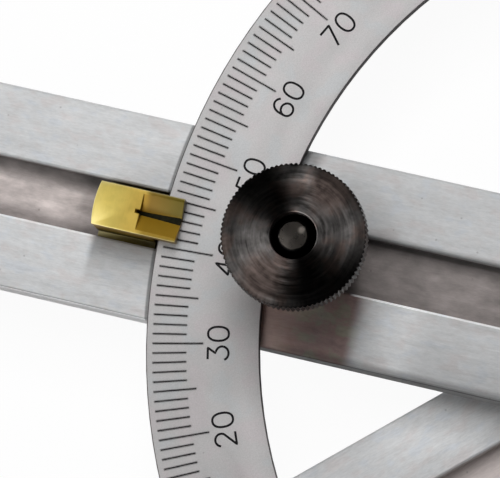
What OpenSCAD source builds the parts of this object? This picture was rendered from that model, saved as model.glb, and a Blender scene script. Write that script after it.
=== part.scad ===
// Angle finder with two channelled arms on one pivot.
// A graduated steel arc is fixed to the lower arm and lies over the upper arm.
// A brass pointer on the upper arm reads the arc, and a knurled knob clamps the arc to that arm.
// Origin: pivot axis on the underside of the base arm. +Z up, base arm along -X.
// The reading is the angle between the arms, and it grows clockwise seen from above.

/* [Arms] */
// Overall length of each arm
arm_len = 304.8; // [230:0.1:600]
// Width of each arm
arm_w = 31.75; // [30:0.05:38]
// Thickness of each arm
arm_t = 6.35; // [6:0.05:9]
// Width of the channel along the top of each arm
channel_w = 9.2; // [9:0.1:10.5]
// Depth of that channel
channel_d = 3.2; // [3.1:0.05:3.4]
// Distance from the pivot to the start of the channel
channel_start = 24; // [16:0.5:40]
// Corner radius at the free end of each arm
arm_corner_r = 3; // [1:0.5:8]
// Chamfer on the long edges of the arms and on the channel's edges
edge_break = 0.35; // [0.1:0.05:0.6]

/* [Scale plate] */
// Outer radius of the graduated arc
scale_r = 88.5; // [84:0.1:130]
// Width of the arc
scale_w = 17.7; // [17:0.1:24]
// Thickness of the arc
scale_t = 2; // [1.2:0.1:3]
// Running gap between the upper arm and the arc above it
scale_gap = 0.1; // [0.05:0.05:0.3]
// Side of the square that breaks each corner of the arc's ends
end_break = 1.8; // [0.6:0.1:3]

/* [Scale fixing] */
// Shank diameter of the two screws that hold the arc
fix_screw_d = 3; // [2.5:0.1:3.5]
// Head diameter of those screws
fix_head_d = 5.5; // [5:0.1:6]
// Head height of those screws
fix_head_h = 1.7; // [1.2:0.1:2.4]
// Distance between the two screws
fix_pitch = 9; // [7.5:0.1:9.6]
// Depth of the screws in the base arm
fix_depth = 4.8; // [3:0.1:5.2]
// How far the spacer block stays back from the edges of the arc
spacer_inset = 0.6; // [0.2:0.1:1]
// Side of the hexagon socket in the screw heads, across flats
fix_socket_af = 2; // [1.5:0.1:2.4]

/* [Reading] */
// Angle between the arms as the pointer shows it
reading = 42.8; // [10:0.1:180]

/* [Pointer] */
// Width of the pointer block
pointer_w = 7; // [6:0.1:8]
// Overall length of the pointer
pointer_len = 13.95; // [13:0.05:18]
// How far the nose reaches over the arc
nose_reach = 3.15; // [2:0.05:4.5]
// Gap between the nose and the arc under it
nose_gap = 0.25; // [0.15:0.05:0.45]
// Height of the pointer above the arc
pointer_over = 2.5; // [2.3:0.1:4]
// Gap between the pointer's body and the outer edge of the arc
body_gap = 0.8; // [0.2:0.1:1]
// Length of the sighting notch in the nose
notch_len = 6.5; // [4:0.1:7]
// Width of the notch at the top
notch_w = 5.9; // [4:0.1:5.9]
// Depth of the notch on the centreline
notch_d = 1.9; // [1:0.05:1.95]
// Width of the index cut on the centreline
index_w = 0.6; // [0.3:0.05:1]
// How far the index cut runs on behind the notch
index_run = 0.75; // [0.3:0.05:1.5]
// Depth of the index cut below the bottom of the notch
index_d = 0.1; // [0.05:0.05:0.3]
// Height of the wider foot in the channel
foot_h = 1.5; // [1:0.1:2.5]
// How far the foot stops short of the pointer's tail
foot_back = 0.6; // [0.4:0.1:2]
// Gap between the foot and each wall of the channel
foot_gap = 0.15; // [0.05:0.05:0.4]
// Radius of the rounded tail of the pointer
tail_r = 16; // [8:0.5:40]
// Diameter of the pointer's fixing screw
pointer_screw_d = 3; // [2.5:0.1:3.5]
// Head diameter of the pointer's fixing screw
pointer_head_d = 5.8; // [5:0.1:6]
// Depth of the fixing screw in the pointer
pointer_screw_run = 4; // [2.5:0.1:4.5]
// Hexagon socket of the fixing screw, across flats
pointer_socket_af = 1.6; // [1.3:0.1:2]

/* [Clamp] */
// Distance from the inner edge of the arc in to the clamp's axis
clamp_inset = 5.3; // [5:0.05:6]
// Diameter of the clamp stud
stud_d = 5; // [4:0.1:5.5]
// Diameter of the stud's flush head in the underside of the arm
stud_head_d = 9; // [8:0.1:11]
// Thickness of the stud's flush head
stud_head_t = 1.5; // [1:0.1:1.8]
// Thin nut in the channel, across flats
stud_nut_af = 8; // [7.5:0.1:8.4]
// Height of the thin nut
stud_nut_h = 2.6; // [2:0.1:2.6]
// Outer diameter of the spring washer under the clamp shoe
lift_washer_d = 8.4; // [7.5:0.1:8.6]
// Thickness of that spring washer
lift_washer_t = 0.4; // [0.2:0.05:0.45]
// Diameter of the clamp shoe
shoe_d = 16; // [15:0.1:17]
// Thickness of the shoe above the arc
shoe_t = 3; // [2:0.1:5]
// Gap between the shoe's step and the inner edge of the arc
shoe_step_gap = 0.5; // [0.4:0.05:0.8]
// Length of the key that keeps the shoe square in the channel
shoe_key_len = 2.4; // [1.5:0.1:2.6]
// Depth of that key in the channel
shoe_key_d = 2; // [1:0.1:2.8]
// Diameter of the washer under the knob
washer_d = 14; // [13:0.1:16]
// Thickness of the washer under the knob
washer_t = 1; // [0.5:0.1:2]
// Running clearance on the clamp stud, on the radius
stud_fit = 0.06; // [0.02:0.01:0.1]

/* [Knob] */
// Diameter of the knurled rim
knob_d = 22.4; // [20:0.1:30]
// Height of the knurled rim
knob_rim_h = 4.5; // [3:0.1:8]
// Number of knurls round the rim
knurls = 92; // [40:1:110]
// Depth of the knurls
knurl_d = 0.28; // [0.1:0.02:0.5]
// Width of the shallow slope round the top of the rim
knob_top_slope = 1.5; // [0.4:0.1:2]
// Drop of that slope at its edge
knob_top_drop = 0.4; // [0.1:0.05:1.2]
// Chamfer round the underside of the rim
knob_low_chamfer = 0.6; // [0.2:0.1:1]
// Diameter of the neck under the rim
knob_neck_d = 13; // [11:0.1:16]
// Height of the neck under the rim
knob_neck_h = 7.8; // [4:0.1:14]
// Diameter of the counterbore in the top of the knob
knob_bore_d = 7.2; // [6.5:0.1:9]
// Depth of that counterbore
knob_bore_h = 2.4; // [1:0.1:3]
// How far the end of the stud lies below the top of the knob
stud_sink = 0.3; // [0:0.1:1.5]
// Chamfer on the end of the stud
stud_chamfer = 0.25; // [0.1:0.05:0.6]

/* [Pivot] */
// Diameter of the pivot stud's shoulder, on which the upper arm turns
shoulder_d = 8; // [7:0.1:9]
// Thread diameter of the pivot stud
pivot_d = 6; // [5:0.1:6.4]
// Depth of the pivot stud in the base arm
pivot_depth = 5.1; // [3.5:0.1:5.4]
// Outer diameter of the bush in the upper arm
bush_d = 10.4; // [10:0.1:14]
// Running clearance of the bush on the shoulder, on the radius
bush_fit = 0.03; // [0.02:0.01:0.1]
// Diameter of the thrust washer between the arms
thrust_d = 26; // [18:0.5:30]
// Thickness of the thrust washer, which sets the gap between the arms
thrust_t = 0.8; // [0.5:0.1:2]
// Outer diameter of the conical spring washer
spring_d = 16; // [14:0.5:22]
// Thickness of the spring washer's metal
spring_t = 0.5; // [0.3:0.05:0.8]
// Height of the spring washer
spring_h = 1; // [0.9:0.05:1.5]
// Outer diameter of the plain washer under the nut
plain_d = 15; // [13:0.5:20]
// Thickness of the plain washer
plain_t = 1.2; // [0.8:0.1:2]
// Pivot nut across flats
pivot_nut_af = 10; // [9.5:0.1:12]
// Height of the hexagon of the pivot nut
pivot_nut_h = 4.2; // [3:0.1:6]
// Height of the round locking collar on the nut
nut_collar_h = 1.8; // [1:0.1:3]
// Step from the nut's flats in to its collar
collar_step = 0.4; // [0.2:0.1:1]
// Length of thread that stands out of the nut
thread_out = 1.2; // [0.5:0.1:3]

/* [Hidden] */
$fn = 96;
// Facet count for the large circles of the arc
big_fn = 240;
// Overshoot of every cutter
eps = 0.5;
// Clearance between a thread and the hole it sits in, on the radius
thread_fit = 0.02;
// Clearance of a screw in a plain hole, on the radius
hole_fit = 0.1;
// Clearance of a washer round what it lies on, on the radius
washer_fit = 0.15;
// How far a flush head lies inside the surface
flush = 0.05;
// Depth of the sockets in the screw heads
socket_d = 0.85;
// Spare depth of a blind hole below the screw or stud in it
hole_spare = 0.1;
// Small chamfer on screw heads, studs and the nut's collar
edge_chamfer = 0.5;
// Step from the roots of the knurls in to the slope and chamfer of the rim
rim_step = 0.05;
// Slope of the chamfer on the nut's corners, radius against height
nut_slope = 1.7;

arm_reach = arm_len - arm_w / 2;
scale_ri = scale_r - scale_w;

// Heights of the stack, from the rest face up
swing_z = arm_t + thrust_t;
swing_floor = swing_z + arm_t - channel_d;
swing_top = swing_z + arm_t;
plate_z = swing_top + scale_gap;
plate_top = plate_z + scale_t;

// Fixed end of the arc, on the far land of the base arm
land_w = arm_w / 2 - channel_w / 2;
fix_y = -(arm_w / 2 + channel_w / 2) / 2;
fix_x = (sqrt(scale_r * scale_r - fix_y * fix_y) + sqrt(scale_ri * scale_ri - fix_y * fix_y)) / 2;
fix_xs = [for (side = [-1, 1]) fix_x + side * fix_pitch / 2];

// Pointer along the upper arm, measured from the pivot
tip_x = scale_r - nose_reach;
tail_x = tip_x + pointer_len;
body_x = scale_r + body_gap;
pointer_top = plate_top + pointer_over;
pointer_screw_x = (body_x + tail_x) / 2;

// Clamp along the upper arm, and its stack of heights
clamp_x = scale_ri - clamp_inset;
shoe_top = plate_top + shoe_t;
washer_top = shoe_top + washer_t;
rim_z = washer_top + knob_neck_h;
knob_top = rim_z + knob_rim_h;

// Pivot stack
spring_top = swing_top + spring_h;
plain_top = spring_top + plain_t;
nut_hex_top = plain_top + pivot_nut_h;
nut_top = nut_hex_top + nut_collar_h;

// Places its children on the base arm, with +X from the pivot to the free end
module on_base() {
    rotate([0, 0, 180]) children();
}

// Places its children on the upper arm, with +X from the pivot to the free end
module on_swing() {
    rotate([0, 0, 180 - reading]) children();
}

// Ring with a rectangular section
module ring(outer_r, inner_r, height) {
    difference() {
        cylinder(r = outer_r, h = height);
        translate([0, 0, -eps]) cylinder(r = inner_r, h = height + 2 * eps);
    }
}

// Plan of one arm: round at the pivot, small corner radii at the free end
module arm_plan() {
    circle(d = arm_w);
    translate([0, -arm_w / 2]) square([arm_reach - arm_corner_r, arm_w]);
    translate([0, -arm_w / 2 + arm_corner_r]) square([arm_reach, arm_w - 2 * arm_corner_r]);
    for (side = [-1, 1]) {
        translate([arm_reach - arm_corner_r, side * (arm_w / 2 - arm_corner_r)]) circle(r = arm_corner_r);
    }
}

// Section across an arm, with its four long edges broken
module arm_section() {
    half = arm_w / 2;
    polygon([
        [-half, edge_break], [-half + edge_break, 0], [half - edge_break, 0], [half, edge_break],
        [half, arm_t - edge_break], [half - edge_break, arm_t],
        [-half + edge_break, arm_t], [-half, arm_t - edge_break]
    ]);
}

// Section of the channel with its broken top edges, as a cutter
module channel_section() {
    half = channel_w / 2;
    polygon([
        [-half, arm_t - channel_d], [half, arm_t - channel_d], [half, arm_t - edge_break],
        [half + edge_break + eps, arm_t + eps], [-half - edge_break - eps, arm_t + eps],
        [-half, arm_t - edge_break]
    ]);
}

// Bar of one arm with its channel, which has a round end towards the pivot
module arm_bar() {
    difference() {
        intersection() {
            linear_extrude(arm_t) arm_plan();
            translate([-arm_w, 0, 0]) rotate([90, 0, 90]) linear_extrude(arm_len + arm_w) arm_section();
        }
        translate([channel_start + channel_w / 2, 0, 0]) {
            rotate([90, 0, 90]) linear_extrude(arm_len) channel_section();
            translate([0, 0, arm_t - channel_d]) cylinder(d = channel_w, h = channel_d + eps);
        }
    }
}

// Lower arm, with blind holes so that its underside stays whole
module base_arm() {
    color([0.72, 0.73, 0.74]) on_base() difference() {
        arm_bar();
        translate([0, 0, arm_t - pivot_depth - hole_spare]) {
            cylinder(r = pivot_d / 2 + thread_fit, h = pivot_depth + eps);
        }
        for (x = fix_xs) {
            translate([x, -fix_y, arm_t - fix_depth - hole_spare]) {
                cylinder(r = fix_screw_d / 2 + thread_fit, h = fix_depth + eps);
            }
        }
    }
}

// Upper arm, with the bush bore, the stud's hole and the pointer's screw hole
module swing_arm() {
    color([0.76, 0.77, 0.78]) on_swing() translate([0, 0, swing_z]) difference() {
        arm_bar();
        translate([0, 0, -eps]) cylinder(d = bush_d, h = arm_t + 2 * eps);
        translate([clamp_x, 0, -eps]) {
            cylinder(r = stud_d / 2 + thread_fit, h = arm_t + eps);
            cylinder(r = stud_head_d / 2 + thread_fit, h = stud_head_t + flush + eps);
        }
        translate([pointer_screw_x, 0, -eps]) {
            cylinder(r = pointer_screw_d / 2 + hole_fit, h = arm_t + eps);
            cylinder(r = pointer_head_d / 2 + hole_fit, h = flush + eps);
        }
        translate([pointer_screw_x, 0, flush]) screw_cone(hole_fit);
    }
}

// Cone of the pointer screw's countersunk head, larger by a clearance
module screw_cone(grow) {
    rise = (pointer_head_d - pointer_screw_d) / 2;
    cylinder(r1 = pointer_head_d / 2 + grow, r2 = pointer_screw_d / 2 + grow, h = rise);
}

// Plan of the arc between two radii, cut off level with the base arm's far edge
module arc_plan(outer_r, inner_r, far_y) {
    intersection() {
        difference() {
            circle(r = outer_r, $fn = big_fn);
            circle(r = inner_r, $fn = big_fn);
        }
        translate([-outer_r - eps, far_y]) square([2 * (outer_r + eps), outer_r + eps - far_y]);
    }
}

// Corners of the arc's two ends, each broken by a square that is turned by 45 degrees
module arc_corners() {
    for (side = [-1, 1], r = [scale_r, scale_ri]) {
        translate([side * sqrt(r * r - arm_w * arm_w / 4), -arm_w / 2]) rotate(45) square(end_break, center = true);
    }
}

// Graduated arc, over the upper arm
module scale_plate() {
    color([0.80, 0.80, 0.81]) translate([0, 0, plate_z]) difference() {
        linear_extrude(scale_t) difference() {
            arc_plan(scale_r, scale_ri, -arm_w / 2);
            arc_corners();
        }
        for (x = fix_xs) {
            translate([-x, fix_y, -eps]) cylinder(r = fix_screw_d / 2 + hole_fit, h = scale_t + 2 * eps);
        }
    }
}

// Block that carries the arc on the far land of the base arm
module scale_spacer() {
    near_y = -channel_w / 2 - edge_break - spacer_inset;
    far_y = -arm_w / 2 + edge_break;
    color([0.62, 0.63, 0.65]) translate([0, 0, arm_t]) difference() {
        linear_extrude(plate_z - arm_t) intersection() {
            arc_plan(scale_r - spacer_inset, scale_ri + spacer_inset, far_y);
            translate([-scale_r, far_y]) square([scale_r, near_y - far_y]);
        }
        for (x = fix_xs) {
            translate([-x, fix_y, -eps]) cylinder(r = fix_screw_d / 2 + hole_fit, h = plate_z);
        }
    }
}

// Two socket screws that hold the arc and its spacer
module scale_screws() {
    shank = plate_top - arm_t + fix_depth;
    for (x = fix_xs) {
        color([0.55, 0.56, 0.58]) translate([-x, fix_y, plate_top]) {
            difference() {
                union() {
                    translate([0, 0, -shank]) cylinder(d = fix_screw_d, h = shank);
                    cylinder(d = fix_head_d, h = fix_head_h - edge_chamfer);
                    translate([0, 0, fix_head_h - edge_chamfer]) {
                        cylinder(d1 = fix_head_d, d2 = fix_head_d - 2 * edge_chamfer, h = edge_chamfer);
                    }
                }
                translate([0, 0, fix_head_h - socket_d]) {
                    cylinder(d = fix_socket_af / cos(30), h = fix_head_h, $fn = 6);
                }
            }
        }
    }
}

// Shoulder stud in the base arm
module pivot_stud() {
    r = pivot_d / 2;
    shoulder_r = shoulder_d / 2;
    low = arm_t - pivot_depth;
    high = nut_top + thread_out;
    color([0.58, 0.59, 0.61]) rotate_extrude() polygon([
        [0, low], [r - edge_chamfer, low], [r, low + edge_chamfer], [r, arm_t],
        [shoulder_r, arm_t], [shoulder_r, spring_top],
        [r, spring_top], [r, high - edge_chamfer], [r - edge_chamfer, high], [0, high]
    ]);
}

// Plastic washer between the arms
module thrust_washer() {
    color([0.90, 0.89, 0.85]) translate([0, 0, arm_t]) {
        ring(thrust_d / 2, shoulder_d / 2 + washer_fit, thrust_t);
    }
}

// Conical washer that presses the upper arm down
module spring_washer() {
    inner = shoulder_d / 2 + washer_fit;
    outer = spring_d / 2;
    color([0.50, 0.51, 0.53]) rotate_extrude() polygon([
        [outer, swing_top], [outer, swing_top + spring_t], [inner, spring_top], [inner, spring_top - spring_t]
    ]);
}

// Plain washer on the shoulder, under the nut
module plain_washer() {
    color([0.70, 0.71, 0.73]) translate([0, 0, spring_top]) {
        ring(plain_d / 2, pivot_d / 2 + washer_fit, plain_t);
    }
}

// Hexagon nut with a round locking collar
module pivot_nut() {
    collar_d = pivot_nut_af - 2 * collar_step;
    collar_top = pivot_nut_h + nut_collar_h;
    color([0.66, 0.67, 0.69]) translate([0, 0, plain_top]) difference() {
        union() {
            intersection() {
                cylinder(d = pivot_nut_af / cos(30), h = pivot_nut_h, $fn = 6);
                cylinder(r1 = pivot_nut_af / 2 + nut_slope * pivot_nut_h, r2 = pivot_nut_af / 2, h = pivot_nut_h);
            }
            cylinder(d = collar_d, h = collar_top - edge_chamfer);
            translate([0, 0, collar_top - edge_chamfer]) {
                cylinder(d1 = collar_d, d2 = collar_d - 2 * edge_chamfer, h = edge_chamfer);
            }
        }
        translate([0, 0, -eps]) {
            cylinder(r = pivot_d / 2 + thread_fit, h = collar_top + 2 * eps);
        }
    }
}

// Bush pressed into the upper arm
module pivot_bush() {
    color([0.72, 0.56, 0.32]) translate([0, 0, swing_z]) {
        ring(bush_d / 2, shoulder_d / 2 + bush_fit, arm_t);
    }
}

// Sighting notch: a trough that falls to the centreline, and the index cut in its bottom
module pointer_notch() {
    half = notch_w / 2;
    slope = notch_d / half;
    wide = half + eps / slope;
    translate([tip_x - eps, 0, pointer_top]) rotate([90, 0, 90]) {
        linear_extrude(notch_len + eps) polygon([[0, -notch_d], [wide, eps], [-wide, eps]]);
        linear_extrude(notch_len + index_run + eps) {
            translate([-index_w / 2, -notch_d - index_d]) square([index_w, notch_d + eps]);
        }
    }
}

// Brass pointer: a block in the channel with a nose over the arc
module pointer() {
    nose_z = plate_top + nose_gap;
    foot_w = channel_w - 2 * foot_gap;
    color([0.80, 0.66, 0.28]) on_swing() difference() {
        union() {
            intersection() {
                translate([0, pointer_w / 2, 0]) rotate([90, 0, 0]) linear_extrude(pointer_w) polygon([
                    [tip_x, nose_z], [body_x, nose_z], [body_x, swing_floor], [tail_x, swing_floor],
                    [tail_x, pointer_top], [tip_x, pointer_top]
                ]);
                translate([tail_x - tail_r, 0, swing_floor - eps]) cylinder(r = tail_r, h = pointer_top);
            }
            translate([body_x, -foot_w / 2, swing_floor]) cube([tail_x - body_x - foot_back, foot_w, foot_h]);
        }
        pointer_notch();
        translate([pointer_screw_x, 0, swing_floor - eps]) {
            cylinder(r = pointer_screw_d / 2 + thread_fit, h = pointer_screw_run + 2 * hole_spare + eps);
        }
    }
}

// Countersunk screw that holds the pointer from below
module pointer_screw() {
    color([0.55, 0.56, 0.58]) on_swing() translate([pointer_screw_x, 0, swing_z + flush]) difference() {
        union() {
            screw_cone(0);
            cylinder(d = pointer_screw_d, h = swing_floor - swing_z + pointer_screw_run - flush);
        }
        translate([0, 0, -eps]) cylinder(d = pointer_socket_af / cos(30), h = eps + socket_d, $fn = 6);
    }
}

// Stud with a flush head, fixed in the upper arm
module clamp_stud() {
    r = stud_d / 2;
    head_r = stud_head_d / 2;
    low = swing_z + flush;
    high = knob_top - stud_sink;
    color([0.30, 0.30, 0.31]) on_swing() translate([clamp_x, 0, 0]) rotate_extrude() polygon([
        [0, low], [head_r, low], [head_r, low + stud_head_t], [r, low + stud_head_t],
        [r, high - stud_chamfer], [r - stud_chamfer, high], [0, high]
    ]);
}

// Thin nut that holds the stud, down in the channel
module stud_nut() {
    color([0.45, 0.46, 0.48]) on_swing() translate([clamp_x, 0, swing_floor]) difference() {
        cylinder(d = stud_nut_af / cos(30), h = stud_nut_h, $fn = 6);
        translate([0, 0, -eps]) cylinder(r = stud_d / 2 + thread_fit, h = stud_nut_h + 2 * eps);
    }
}

// Spring washer that lifts the shoe when the knob is loosened, drawn pressed flat
module lift_washer() {
    color([0.50, 0.51, 0.53]) on_swing() translate([clamp_x, 0, swing_floor + stud_nut_h]) {
        ring(lift_washer_d / 2, stud_d / 2 + washer_fit, lift_washer_t);
    }
}

// Clamp shoe: its toe bears on the arc, its heel on the arm, and its key runs in the channel
module clamp_shoe() {
    step_x = clamp_inset - shoe_step_gap;
    key_w = channel_w - 2 * foot_gap;
    color([0.36, 0.36, 0.38]) on_swing() translate([clamp_x, 0, 0]) difference() {
        intersection() {
            union() {
                translate([0, 0, swing_top]) cylinder(d = shoe_d, h = shoe_top - swing_top);
                translate([-shoe_d / 2, -key_w / 2, swing_top - shoe_key_d]) {
                    cube([shoe_key_len, key_w, shoe_key_d + eps]);
                }
            }
            translate([0, 0, swing_floor]) cylinder(d = shoe_d, h = shoe_top - swing_floor);
        }
        translate([step_x, -shoe_d, swing_floor - eps]) {
            cube([shoe_d, 2 * shoe_d, plate_top - swing_floor + eps]);
        }
        translate([0, 0, swing_floor]) cylinder(r = stud_d / 2 + stud_fit, h = shoe_top);
    }
}

// Washer between the shoe and the knob
module clamp_washer() {
    color([0.72, 0.73, 0.75]) on_swing() translate([clamp_x, 0, shoe_top]) {
        ring(washer_d / 2, stud_d / 2 + stud_fit, washer_t);
    }
}

// Plan of the knurled rim: straight V teeth worked out from their count
module knurl_plan() {
    tip_r = knob_d / 2;
    root_r = tip_r - knurl_d;
    polygon([
        for (i = [0 : 2 * knurls - 1])
            let (r = i % 2 == 0 ? tip_r : root_r, a = 180 * i / knurls)
            [r * cos(a), r * sin(a)]
    ]);
}

// Knurled clamp knob with a neck, chamfered rim and counterbored top
module lock_knob() {
    core_r = knob_d / 2 - knurl_d - rim_step;
    band_z = rim_z + knob_low_chamfer;
    band_h = knob_rim_h - knob_low_chamfer - knob_top_drop;
    color([0.13, 0.13, 0.14]) on_swing() translate([clamp_x, 0, 0]) difference() {
        union() {
            translate([0, 0, washer_top]) cylinder(d = knob_neck_d, h = knob_neck_h + eps);
            translate([0, 0, rim_z]) {
                cylinder(r1 = core_r - knob_low_chamfer, r2 = core_r, h = knob_low_chamfer);
            }
            translate([0, 0, band_z]) linear_extrude(band_h) knurl_plan();
            translate([0, 0, band_z + band_h]) {
                cylinder(r1 = core_r, r2 = core_r - knob_top_slope, h = knob_top_drop);
            }
        }
        translate([0, 0, washer_top - eps]) {
            cylinder(r = stud_d / 2 + stud_fit, h = knob_neck_h + knob_rim_h + 2 * eps);
        }
        translate([0, 0, knob_top - knob_bore_h]) cylinder(d = knob_bore_d, h = knob_bore_h + eps);
    }
}

base_arm();
scale_spacer();
scale_plate();
scale_screws();
pivot_stud();
thrust_washer();
spring_washer();
plain_washer();
pivot_nut();
swing_arm();
pivot_bush();
pointer();
pointer_screw();
clamp_stud();
stud_nut();
lift_washer();
clamp_shoe();
clamp_washer();
lock_knob();
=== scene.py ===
"""Looks of the angle finder with arms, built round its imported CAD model.

Lengths are metres in the frame of the CAD model: the Z axis is the pivot, the base arm lies along -X.
Sizes written in millimetres are multiplied by MM. The finishes draw in millimetres, so only the relief
of a bump is.
"""
import logging
import math
import random
from abc import ABC, abstractmethod
from collections.abc import Callable, Iterator
from contextlib import contextmanager
from dataclasses import dataclass, field
from enum import Enum
from functools import partial, reduce

import bmesh
import bpy
from mathutils import Matrix, Vector


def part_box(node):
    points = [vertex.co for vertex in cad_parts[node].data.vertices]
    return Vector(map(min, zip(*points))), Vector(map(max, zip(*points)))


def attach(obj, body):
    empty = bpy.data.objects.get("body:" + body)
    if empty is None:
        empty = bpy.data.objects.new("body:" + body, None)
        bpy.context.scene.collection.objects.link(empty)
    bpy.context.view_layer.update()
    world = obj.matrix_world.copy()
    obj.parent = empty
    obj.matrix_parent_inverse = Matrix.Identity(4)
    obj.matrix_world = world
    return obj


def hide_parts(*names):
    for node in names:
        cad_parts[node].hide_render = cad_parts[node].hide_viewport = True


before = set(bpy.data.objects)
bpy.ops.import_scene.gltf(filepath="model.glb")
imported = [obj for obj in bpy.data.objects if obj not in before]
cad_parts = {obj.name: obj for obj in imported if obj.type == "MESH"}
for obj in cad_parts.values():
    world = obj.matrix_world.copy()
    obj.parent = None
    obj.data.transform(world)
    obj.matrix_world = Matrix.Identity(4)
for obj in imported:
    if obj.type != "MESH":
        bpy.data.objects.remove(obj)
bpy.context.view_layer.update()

logging.basicConfig(level=logging.INFO, format="%(message)s")
LOG = logging.getLogger("angle_finder")

MM = 0.001
# Points nearer than MERGE are one, faces turned by less than FLAT are one, and edges over SHARP are rounded
MERGE = 1e-6
FLAT = math.radians(0.4)
SHARP = math.radians(28)

Colour = tuple[float, float, float]
Pair = tuple[float, float]
Point = tuple[float, float]
Point3 = tuple[float, float, float]
Socket = bpy.types.NodeSocket
Piece = bpy.types.Object
Look = bpy.types.Material
Vert = bmesh.types.BMVert
Feed = Socket | float | Colour | Vector | tuple[float, ...]
Feeds = dict[str | int, Feed]

WHITE: Colour = (1.0, 1.0, 1.0)
# Radii of the arc, in millimetres for the finishes, and a figure's width when it is 1 high
ARC_INNER = 70.8
ARC_OUTER = 88.5
FIGURE_WIDTH = 0.67


class Body(Enum):
    """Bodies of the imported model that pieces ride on."""

    BASE = "base"
    SWING = "swing"
    CLAMP = "clamp"
    KNOB = "knob"


class Slot(Enum):
    """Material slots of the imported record."""

    ALUMINIUM = "arm_aluminium"
    SCALE = "scale_steel"
    FASTENER = "fastener_steel"
    PLASTIC = "washer_plastic"
    BRONZE = "bush_bronze"
    BRASS = "pointer_brass"
    BLACK = "black_steel"


class Element(Enum):
    """Elements of a mesh, by Blender's name for selecting them."""

    VERTS = "VERT"
    EDGES = "EDGE"


def linear(value: int) -> float:
    """Display value from 0 to 255 made linear."""
    share = value / 255
    return share / 12.92 if share <= 0.04045 else ((share + 0.055) / 1.055) ** 2.4


def shown(red: int, green: int, blue: int) -> Colour:
    """Linear colour for display values from 0 to 255."""
    return linear(red), linear(green), linear(blue)


@dataclass(frozen=True)
class Layer:
    """Noise of a finish, whose features are about 1 / density millimetres wide."""

    density: float | tuple[float, float, float]
    detail: float = 2.0
    rough: float = 0.5
    gain: float = 0.0


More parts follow.
